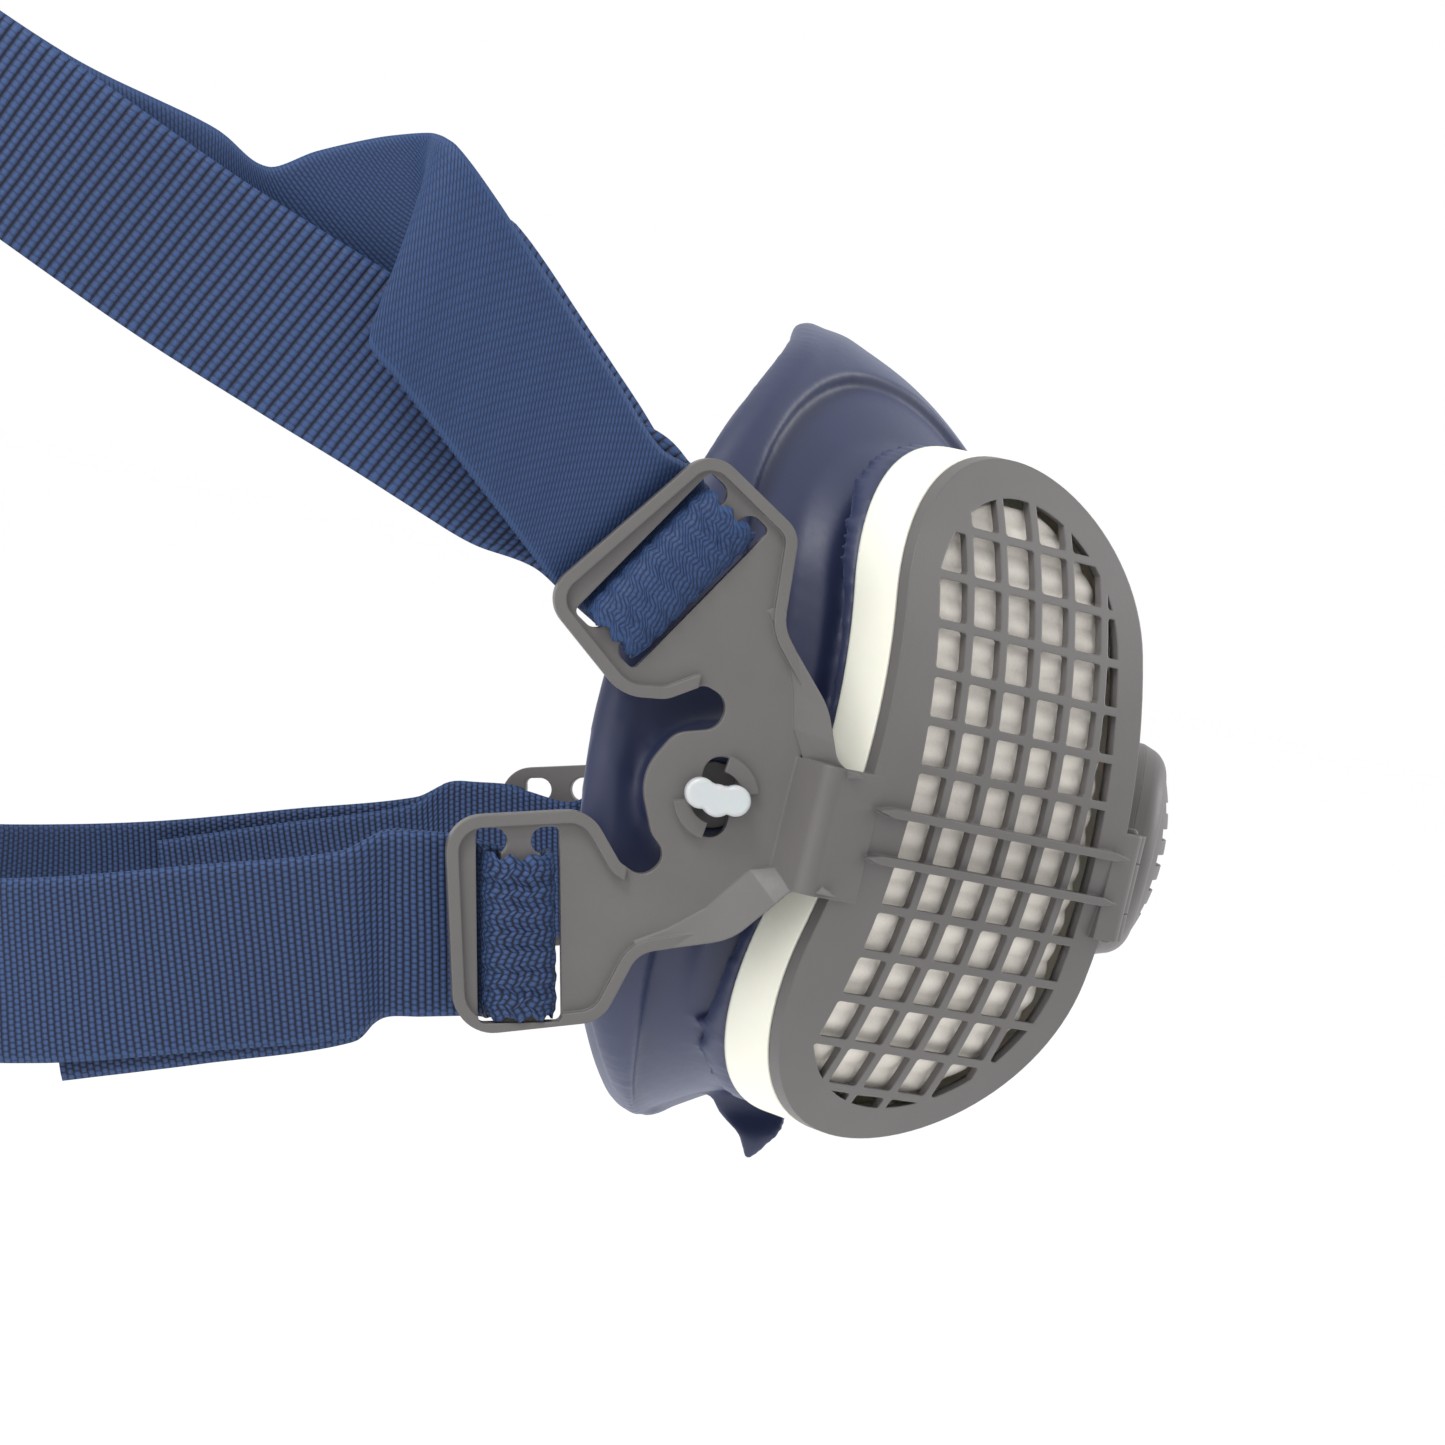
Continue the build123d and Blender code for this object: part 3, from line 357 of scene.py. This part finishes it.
def fibrous(name, colour):
    """Non-woven filter paper: matted fibres and faint cloudy patches."""
    material, tree, shader = new_material(name, 0.95, Specular_IOR_Level=0.15)
    place = put(tree, "ShaderNodeTexCoord").outputs["Object"]
    cloud, fibre = noise(tree, place, 5.0, 4.0), noise(tree, place, 0.35, 6.0, 0.75)
    both = calc(tree, "ADD", calc(tree, "MULTIPLY", cloud, 0.5), calc(tree, "MULTIPLY", fibre, 0.5))
    tree.links.new(ramp(tree, both, [(0.3, tinted(colour, 0.84)), (0.5, colour), (0.7, tinted(colour, 1.1))]),
                   shader.inputs["Base Color"])
    bump = put(tree, "ShaderNodeBump", {"Strength": 0.5, "Distance": 0.08 * MM}, {"Height": fibre})
    tree.links.new(bump.outputs[0], shader.inputs["Normal"])
    return material


GREY = (0.098, 0.092, 0.091)
NAVY = (0.016, 0.022, 0.064)
CREAM = (0.74, 0.735, 0.64)
grey = moulded("grey_moulding", GREY, 0.47, 0.28, 0.035, 0.35, Specular_IOR_Level=0.42)
navy = moulded("navy_elastomer", NAVY, 0.50, 0.5, 0.02, 0.5, wear=0.02, dust=0.06,
               Sheen_Weight=0.10, Sheen_Roughness=0.5, Sheen_Tint=(0.45, 0.58, 1.0, 1.0),
               Specular_IOR_Level=0.5)
cream = moulded("cream_moulding", CREAM, 0.38, 0.4, 0.02, 0.5, wear=0.0, dust=0.015,
                Subsurface_Weight=0.12, Subsurface_Scale=0.002)
nylon = moulded("white_nylon", (0.44, 0.47, 0.48), 0.34, 0.6, 0.02, 0.45, wear=0.0, dust=0.03,
                Subsurface_Weight=0.4, Subsurface_Scale=0.002, IOR=1.5)
flap = moulded("valve_rubber", (0.42, 0.40, 0.37), 0.5, 0.5, 0.02, 0.2, wear=0.02)
gasket = moulded("gasket_rubber", (0.10, 0.11, 0.14), 0.6, 0.4, 0.03, 0.2, wear=0.02)
paper = fibrous("filter_paper", (0.74, 0.70, 0.64))
# Shaded and lit copies of the webbing blue, here and in the colour pairs below, for painted shade in the gaps
# between cords.
BLUE_SHADED, BLUE_LIT = (0.003, 0.007, 0.026), (0.027, 0.058, 0.155)
twill = woven("webbing_twill", (0.008, 0.020, 0.064), (0.021, 0.050, 0.135),
              0.62, 0.95, 0.55, 0.45, 0.07, 0.45)
cords = woven("webbing_cords", BLUE_SHADED, BLUE_LIT, 1.45, 0.95, 0.10, 0.35, 0.26, 0.25)
knit = woven("webbing_knit", (0.003, 0.008, 0.030), (0.026, 0.058, 0.155), 0.95, 0.80, 0.0, 0.7, 0.18, 0.25)

SLOTS = {"grey_plastic": grey, "navy_elastomer": navy, "cream_plastic": cream, "filter_media": paper,
         "blue_webbing": knit, "white_nylon": nylon, "valve_rubber": flap, "gasket_rubber": gasket}
for entry in frame["record"]["subparts"]:
    slots = frame["nodes"][entry["node"]].data.materials
    slots.clear()
    slots.append(SLOTS[entry["material_slot"]])


# ---- Facepiece: one soft moulding with a rolled bead round the face seal ---------------------------
VOXEL = 0.75 * MM
BEAD_RADIUS, BEAD_INSET, BEAD_AHEAD = 2.5, 1.7, 2.3
NOSE_LIFT = 3.0
SEAL_CENTRE_Y, SEAL_RADIUS, SEAL_LEVEL = -91.0, 108.0, 1.0    # the cylinder that the seal lies on
SWELL, SWELL_AWAY, SWELL_REACH = 0.7, 3.5, 3.6                # the bead round the seal's rear edge
GROOVE, GROOVE_AWAY, GROOVE_REACH = 0.9, 12.0, 4.2            # and the groove in front of it
EGG_TOP, EGG_BOTTOM = (0.5, 24.3, 23.6), (0.0, -22.8, 26.9)   # the filter's outline: centre, radius
TRENCH, TRENCH_DEPTH = 8.0, 3.5


def rim_points(count=96):
    """The outermost points of the face seal's rear edge, round the middle, in millimetres."""
    points = np.array([v.co for v in frame["nodes"]["face_seal"].data.vertices]) / MM
    centre = np.array([0.0, SEAL_LEVEL])
    flat = points[:, [0, 2]] - centre
    radius = np.linalg.norm(flat, axis=1)
    turn = np.arctan2(flat[:, 0], flat[:, 1])
    seal = SEAL_CENTRE_Y + np.sqrt(SEAL_RADIUS ** 2 - (points[:, 2] - SEAL_LEVEL) ** 2)
    rear = seal - points[:, 1] < 1.2
    found = []
    for angle in np.linspace(-math.pi, math.pi, count, endpoint=False):
        off = np.abs((turn - angle + math.pi) % (2 * math.pi) - math.pi)
        near = rear & (off < math.pi / count * 2.5)
        best = np.flatnonzero(near)[np.argmax(radius[near])]
        found.append(points[best])
    found = np.array(found)
    for _ in range(6):
        found = (np.roll(found, 1, 0) + 2 * found + np.roll(found, -1, 0)) / 4
    return found


def tube(points, radii, sides=14):
    """A closed ring-shaped tube through points, as points and faces."""
    along = np.roll(points, -1, 0) - np.roll(points, 1, 0)
    along /= np.linalg.norm(along, axis=1)[:, None]
    middle = points.mean(axis=0)
    away = points - middle
    away -= along * (away * along).sum(axis=1)[:, None]
    away /= np.linalg.norm(away, axis=1)[:, None]
    third = np.cross(along, away)
    turns = np.linspace(0, 2 * math.pi, sides, endpoint=False)
    rings = [points + away * (radii[0] * math.cos(t)) + third * (radii[1] * math.sin(t)) for t in turns]
    made = np.stack(rings, axis=1).reshape(-1, 3)
    count = len(points)
    faces = [(i * sides + j, i * sides + (j + 1) % sides,
              (i + 1) % count * sides + (j + 1) % sides, (i + 1) % count * sides + j)
             for i in range(count) for j in range(sides)]
    return made, faces


def shape(mesh, rim):
    """Raises the bead, sinks a groove in front of it that fades at the nose, and sinks a trench
    round each filter's flange."""
    count = len(mesh.vertices)
    points, normals = np.empty(count * 3), np.empty(count * 3)
    mesh.vertices.foreach_get("co", points)
    mesh.vertices.foreach_get("normal", normals)
    points, normals = points.reshape(-1, 3) / MM, normals.reshape(-1, 3)
    away = np.full(count, 1e9)
    onward = np.roll(rim, -1, 0) - rim
    for point in np.concatenate([rim + onward * t for t in (0.0, 0.2, 0.4, 0.6, 0.8)]):
        away = np.minimum(away, np.linalg.norm(points - point, axis=1))
    out = points * np.array([1.0, 0.0, 1.0]) + np.array([0.0, -20.0, 0.0])
    out /= np.linalg.norm(out, axis=1)[:, None]
    outer = np.clip((normals * out).sum(axis=1) * 2.0, 0.0, 1.0)
    nose = np.exp(-(points[:, 0] / 26.0) ** 2) * (points[:, 2] > 20)
    swell = (SWELL - 0.2 * nose) * np.exp(-((away - SWELL_AWAY) / SWELL_REACH) ** 2)
    groove = (GROOVE - GROOVE * nose) * np.exp(-((away - GROOVE_AWAY) / GROOVE_REACH) ** 2)
    points += normals * (outer * (swell - groove))[:, None]
    for sign in (1.0, -1.0):
        flip = np.array([sign, 1.0, 1.0])
        local = points * flip - FILTER_CENTRE
        fore, up, depth = local @ FILTER_FORE, local[:, 2], -(local @ FILTER_OUT)
        depth = depth - BEND_RADIUS + np.sqrt(np.maximum(BEND_RADIUS ** 2 - up ** 2, 1.0))
        share = np.clip((EGG_TOP[1] - up) / (EGG_TOP[1] - EGG_BOTTOM[1]), 0, 1)
        core = np.stack([EGG_TOP[0] + (EGG_BOTTOM[0] - EGG_TOP[0]) * share,
                         EGG_TOP[1] + (EGG_BOTTOM[1] - EGG_TOP[1]) * share], axis=1)
        radius = EGG_TOP[2] + (EGG_BOTTOM[2] - EGG_TOP[2]) * share
        beyond = np.linalg.norm(np.stack([fore, up], axis=1) - core, axis=1) - radius
        inside = np.clip((beyond + 3.5) / 2.5, 0, 1) * np.clip((TRENCH - beyond) / 2.0, 0, 1)
        inside *= np.clip((depth - 12.8) / 1.5, 0, 1) * np.clip((40.0 - depth) / 8.0, 0, 1)
        points -= (FILTER_OUT * flip) * (TRENCH_DEPTH * inside)[:, None]
    mesh.vertices.foreach_set("co", (points * MM).ravel())
    mesh.update()


def moulding():
    """The facepiece and its seal as one skin, remeshed so that every edge is soft."""
    rim = rim_points()
    centre = rim.mean(axis=0)
    inward = centre - rim
    inward[:, 1] = 0
    inward /= np.linalg.norm(inward, axis=1)[:, None]
    lift = NOSE_LIFT * np.exp(-(rim[:, 0] / 24.0) ** 2) * (rim[:, 2] > 0)
    path = rim + inward * BEAD_INSET + np.array([0.0, -1.0, 0.0]) * (BEAD_AHEAD - lift)[:, None]
    bead, bead_faces = tube(path, (BEAD_RADIUS, BEAD_RADIUS * 1.25))
    build = bmesh.new()
    for node in ("facepiece", "face_seal"):
        build.from_mesh(frame["nodes"][node].data)
    verts = [build.verts.new(p) for p in (bead * MM).tolist()]
    for face in bead_faces:
        build.faces.new([verts[k] for k in face])
    bmesh.ops.recalc_face_normals(build, faces=build.faces)
    mesh = bpy.data.meshes.new("facepiece_moulding")
    build.to_mesh(mesh)
    build.free()
    piece = bpy.data.objects.new("facepiece_moulding", mesh)
    bpy.context.scene.collection.objects.link(piece)
    remesh = piece.modifiers.new("voxels", "REMESH")
    remesh.mode, remesh.voxel_size = "VOXEL", VOXEL
    applied(piece)
    shape(piece.data, rim)
    relax = piece.modifiers.new("relax", "SMOOTH")
    relax.factor, relax.iterations = 0.5, 9
    applied(piece)
    piece.data.materials.clear()
    piece.data.materials.append(navy)
    piece.data.shade_smooth()
    return piece


facepiece = moulding()
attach(facepiece, "root")
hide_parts("facepiece", "face_seal")


# ---- Filter media: paper pleats across the filter --------------------------------------------------
PAPER_TOP, PAPER_BOTTOM = (0.5, 24.3, 17.6), (0.0, -22.8, 20.9)    # its outline: centre, radius
PAPER_FRONT, PAPER_BACK = 1.85, 8.1                                # depths below the grille's face
PLEAT_PITCH, PLEAT_DEPTH = 3.9, 0.6
PAPER_LEVELS, PAPER_COLUMNS = (-43.4, 41.6, 0.31), 15


def pleats(name, sign):
    """Pleated paper in the filter's curve: a zigzag front and back closed round its outline."""
    top, bottom = PAPER_TOP, PAPER_BOTTOM
    front, back, pitch, fold = PAPER_FRONT, PAPER_BACK, PLEAT_PITCH, PLEAT_DEPTH
    levels = np.arange(*PAPER_LEVELS)
    across = PAPER_COLUMNS
    rng = np.random.default_rng(7)
    drift = np.interp(levels, np.linspace(-50, 50, 40), rng.normal(0, 0.08, 40))
    lean = (bottom[2] - top[2]) / (top[1] - bottom[1])
    rows = []
    for level, wander in zip(levels, drift):
        middle = np.interp(level, [bottom[1], top[1]], [bottom[0], top[0]])
        if level > top[1] + top[2] * lean:
            half = math.sqrt(max(0.05, top[2] ** 2 - (level - top[1]) ** 2))
        elif level < bottom[1] + bottom[2] * lean:
            half = math.sqrt(max(0.05, bottom[2] ** 2 - (level - bottom[1]) ** 2))
        else:
            half = bottom[2] - (level - bottom[1] - bottom[2] * lean) * lean / math.sqrt(1 - lean ** 2)
        phase = (level + wander) / pitch % 1.0
        crest = fold * (1 - abs(2 * phase - 1) ** 1.6)
        rows.append((level, middle, half, fold - crest))
    front_points, back_points = [], []
    for level, middle, half, dip in rows:
        for s in np.linspace(-1, 1, across):
            sway = 0.03 * math.sin(3.1 * s + level * 0.8)
            for depth, store in ((front + dip + sway * dip, front_points), (back - 0.5 * dip, back_points)):
                rise = math.sqrt((BEND_RADIUS - depth) ** 2 - level ** 2) - BEND_RADIUS
                place = FILTER_CENTRE + FILTER_FORE * (middle + half * s) + UP * level
                store.append(place + FILTER_OUT * rise)
    points = np.array(front_points + back_points)
    count, offset = len(rows), len(front_points)
    faces = []
    for i in range(count - 1):
        for j in range(across - 1):
            a, b = i * across + j, (i + 1) * across + j
            faces.append((a, a + 1, b + 1, b))
            faces.append((offset + a, offset + b, offset + b + 1, offset + a + 1))
        for a, b in ((i * across, (i + 1) * across), ((i + 2) * across - 1, (i + 1) * across - 1)):
            faces.append((a, b, offset + b, offset + a))
    last = (count - 1) * across
    for j in range(across - 1):
        faces.append((j + 1, j, offset + j, offset + j + 1))
        faces.append((last + j, last + j + 1, offset + last + j + 1, offset + last + j))
    points, faces = mirrored(points, faces, sign)
    return mesh_piece(name, points, faces, [paper])


for side, sign in SIDES:
    piece = pleats(f"{side}_pleated_media", sign)
    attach(piece, "root")
    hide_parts(f"{side}_filter_media")


# ---- Harness ---------------------------------------------------------------------------------------
# Edge pairs of the head strap's slack layer, from behind the head to the buckle. It stands up in a
# crest whose lower edge folds back behind itself.
CREST = [
    ((-68.8, 71.2, 37.5), (-71.0, 76.5, 60.6)), ((-69.3, 63.7, 42.0), (-71.8, 70.5, 64.1)),
    ((-70.3, 56.1, 48.3), (-73.0, 63.3, 67.5)), ((-73.0, 53.1, 53.9), (-74.6, 58.9, 69.0)),
    ((-75.5, 51.9, 53.7), (-76.5, 56.3, 69.6)), ((-79.0, 54.3, 49.2), (-78.3, 54.9, 69.6)),
    ((-82.8, 56.3, 43.6), (-79.8, 53.5, 69.3)), ((-84.2, 56.6, 40.3), (-81.5, 51.5, 68.4)),
    ((-83.8, 52.4, 36.9), (-82.0, 46.6, 64.4)), ((-81.0, 45.1, 30.9), (-80.5, 37.5, 55.9)),
    ((-76.6, 34.4, 22.1), (-76.4, 25.4, 44.7)), ((-73.0, 27.8, 16.6), (-73.0, 16.7, 36.4)),
]
HEAD_INNER = [((-7.0, 183.05, 82.5), UP), ((-7.5, 181.9, 82.5), UP), ((-9.0, 181.55, 82.5), UP),
              ((-13.5, 181.2, 82.5), UP), ((-29.5, 176.0, 81.0), UP),
              ((-50.0, 160.0, 75.3), (0.03, -0.1, 0.99)),
              ((-67.0, 133.5, 66.0), (0.05, -0.2, 0.98)), ((-73.3, 108.0, 56.5), (0.06, -0.26, 0.96)),
              ((-72.0, 88.0, 52.0), (0.07, -0.24, 0.97))]
HEAD_OUTER = [((-71.6, 33.0, 29.3), (0.03, -0.42, 0.90)), ((-73.0, 41.5, 32.1), (0.04, -0.36, 0.93)),
              ((-74.7, 51.8, 35.7), (0.05, -0.34, 0.94)), ((-75.8, 64.0, 39.7), (0.05, -0.34, 0.94)),
              ((-76.4, 84.0, 46.5), (0.06, -0.33, 0.94)), ((-76.6, 108.0, 56.0), (0.06, -0.3, 0.95)),
              ((-70.2, 135.0, 66.3), (0.05, -0.2, 0.98)), ((-52.0, 162.4, 76.3), (0.03, -0.1, 0.99)),
              ((-30.5, 179.0, 81.3), UP), ((-14.0, 184.4, 82.5), UP), ((-9.0, 184.55, 82.5), UP),
              ((-7.5, 184.2, 82.5), UP)]
NECK_FRONT = [((-25.0, 132.7, -60.5), UP), ((-17.0, 135.6, -61.0), UP), ((-12.6, 136.45, -61.0), UP),
              ((-10.3, 136.1, -61.0), UP), ((-9.4, 134.8, -61.0), UP), ((-10.3, 133.4, -61.0), UP),
              ((-13.5, 132.9, -61.0), UP), ((-28.0, 129.6, -60.5), (0, 0.05, 1)),
              ((-45.0, 119.6, -59.0), (0, 0.1, 1)), ((-61.5, 102.7, -56.5), (0, 0.18, 0.98)),
              ((-71.5, 82.0, -51.5), (0, 0.30, 0.95)), ((-74.5, 60.0, -44.2), (0, 0.33, 0.94)),
              ((-74.5, 42.0, -38.0), (0, 0.30, 0.95))]
NECK_BACK = [((-71.0, 42.0, -39.0), (0, 0.30, 0.95)), ((-70.5, 62.0, -47.0), (0, 0.38, 0.93)),
             ((-67.5, 80.0, -54.0), (0, 0.36, 0.93))]


def bar_middle(name):
    (x, y), (vx, vy) = BUCKLES[name]
    v, height = GATHERED
    return TOGGLE_AT + PLATE_REAR * (x + v * vx) + UP * (y + v * vy) + PLATE_OUT * height


head_rows = (spread(HEAD_INNER) + [(np.array(a), np.array(b)) for a, b in CREST]
             + threaded("head", [], [], 1.0, -0.4) + spread(HEAD_OUTER))
neck_rows = (spread(NECK_FRONT)
             + threaded("neck", [(14.0, -3.3), (9.0, -3.3)], [(14.0, -5.3)], 1.6, -1.7)
             + spread(NECK_BACK))
for side, sign in SIDES:
    head = webbing(f"{side}_head_webbing", head_rows, True, [bar_middle("head")], sign, cords, twill)
    neck = webbing(f"{side}_neck_webbing", neck_rows, False, [bar_middle("neck")], sign, knit, knit)
    for piece, name, start, end in (
        (head, "head_strap", (-0.078, 0.032, 0.030), (-0.060, 0.150, 0.066)),
        (neck, "neck_strap", (-0.074, 0.034, -0.034), (-0.055, 0.112, -0.056)),
    ):
        start, end = (start[0] * sign, *start[1:]), (end[0] * sign, *end[1:])
        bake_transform(piece)
        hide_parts(f"{side}_{name}")


# ---- Stage, light and camera -----------------------------------------------------------------------
FLOOR_SIZE, FLOOR_LEVEL = 60.0, -0.36

bpy.ops.mesh.primitive_plane_add(size=FLOOR_SIZE, location=(0, 0, FLOOR_LEVEL))
floor = bpy.context.object
floor.name = "floor"
floor.data.materials.append(new_material("studio_floor", 0.9, Base_Color=(1.0, 1.0, 1.0, 1.0))[0])

world = bpy.data.worlds.new("studio")
world.use_nodes = True
world.node_tree.nodes["Background"].inputs["Color"].default_value = (1.0, 1.0, 1.0, 1.0)
world.node_tree.nodes["Background"].inputs["Strength"].default_value = 1.0
bpy.context.scene.world = world


def softbox(name, place, target, size, power, colour=(1.0, 1.0, 1.0)):
    light = bpy.data.lights.new(name, "AREA")
    light.shape, light.size, light.energy, light.color = "DISK", size, power, colour
    lamp = bpy.data.objects.new(name, light)
    lamp.location = place
    lamp.rotation_mode = "QUATERNION"
    lamp.rotation_quaternion = (Vector(target) - Vector(place)).to_track_quat("-Z", "Y")
    bpy.context.scene.collection.objects.link(lamp)


softbox("key", (-0.75, 0.55, 1.1), (-0.03, 0.0, 0.0), 0.5, 12.0)
softbox("fill", (-1.3, 0.9, 0.35), (-0.03, 0.03, 0.0), 0.9, 4.0)
softbox("rim", (0.6, -1.2, 0.5), (0.0, 0.0, 0.0), 0.7, 6.0)

CAMERA_AT = 0.75
BACK = Vector((-0.99939, 0.0, 0.0349))
RIGHT_LEVEL, UP_LEVEL = Vector((0.0, -1.0, 0.0)), Vector((0.0349, 0.0, 0.99939))
ROLL = math.radians(13.5)
lens = bpy.data.cameras.new("camera")
lens.lens, lens.sensor_width = 126.12, 36.0
lens.clip_start, lens.clip_end = 0.01, 100.0
camera = bpy.data.objects.new("camera", lens)
right = RIGHT_LEVEL * math.cos(ROLL) + UP_LEVEL * math.sin(ROLL)
above = UP_LEVEL * math.cos(ROLL) - RIGHT_LEVEL * math.sin(ROLL)
camera.matrix_world = Matrix((
    (right.x, above.x, BACK.x, BACK.x * CAMERA_AT),
    (right.y, above.y, BACK.y, BACK.y * CAMERA_AT),
    (right.z, above.z, BACK.z, BACK.z * CAMERA_AT),
    (0, 0, 0, 1),
))
bpy.context.scene.collection.objects.link(camera)
bpy.context.scene.camera = camera
bpy.context.scene.view_settings.view_transform = "Standard"
